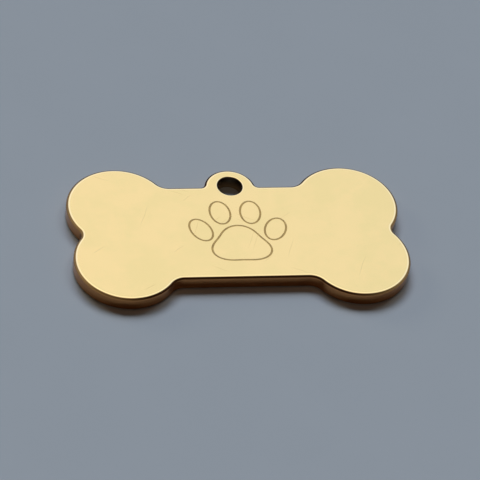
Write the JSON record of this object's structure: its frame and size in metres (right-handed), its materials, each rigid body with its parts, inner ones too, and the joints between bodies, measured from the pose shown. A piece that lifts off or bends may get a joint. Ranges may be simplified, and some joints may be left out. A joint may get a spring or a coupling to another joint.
{
  "type": "bone-shaped pet tag",
  "caption": "Flat bone-shaped pet tag of polished gold-coloured metal, with a lug and ring hole on its upper edge and a lacquer-filled engraved paw on its front face.",
  "frame": {"origin": "middle of the bone's outline on its back face, which lies on the ground", "axes": "+X along the bone, +Y towards the lug and its ring hole, +Z out of the front face"},
  "size_m": [0.04, 0.021, 0.0018],
  "materials": {
    "gold_plate": "mirror-polished gold-coloured metal with fine handling scratches and satin edges",
    "line_lacquer": "brown lacquer, satin"
  },
  "bodies": {
    "root": {"tag_plate": "gold_plate", "pad_line_fill": "line_lacquer", "left_inner_toe_line_fill": "line_lacquer", "right_inner_toe_line_fill": "line_lacquer", "left_outer_toe_line_fill": "line_lacquer", "right_outer_toe_line_fill": "line_lacquer"}
  },
  "joints": []
}
